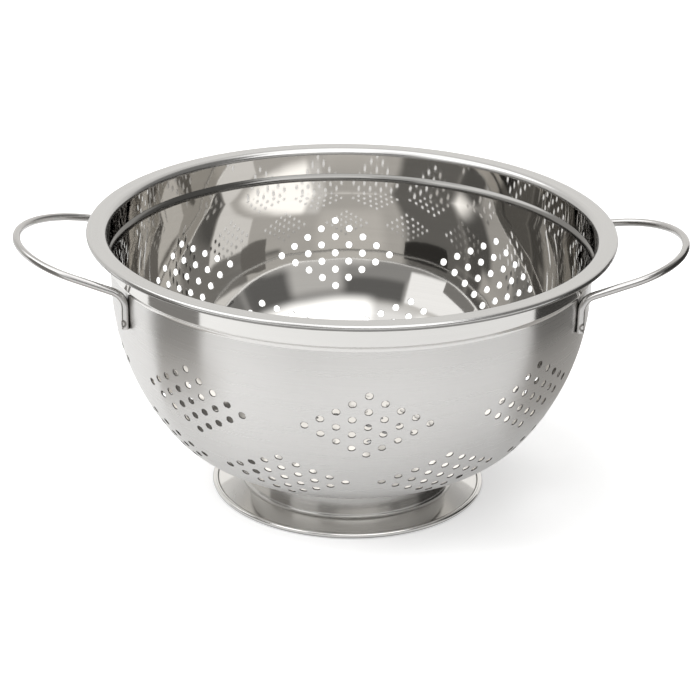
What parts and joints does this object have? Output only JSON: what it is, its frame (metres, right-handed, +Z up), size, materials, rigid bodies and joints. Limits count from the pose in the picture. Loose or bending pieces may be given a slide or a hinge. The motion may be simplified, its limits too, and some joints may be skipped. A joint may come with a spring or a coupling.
{
  "type": "colander",
  "caption": "Round footed colander: thin perforated metal bowl with a flat rim flange, a flared ring foot and two round-wire loop handles.",
  "frame": {"origin": "centre of the foot's resting ring, on the floor under the bowl's axis", "axes": "+Z up along the bowl's axis, +X towards the right-hand handle, -Y towards the viewer of the picture"},
  "size_m": [0.3578, 0.28, 0.1473],
  "materials": {
    "bowl": "brushed outside, bright inside",
    "foot": "bright polished",
    "handles": "polished wire"
  },
  "bodies": {
    "root": {"bowl": "bowl", "foot": "foot", "right_handle": "handles", "left_handle": "handles"}
  },
  "joints": []
}
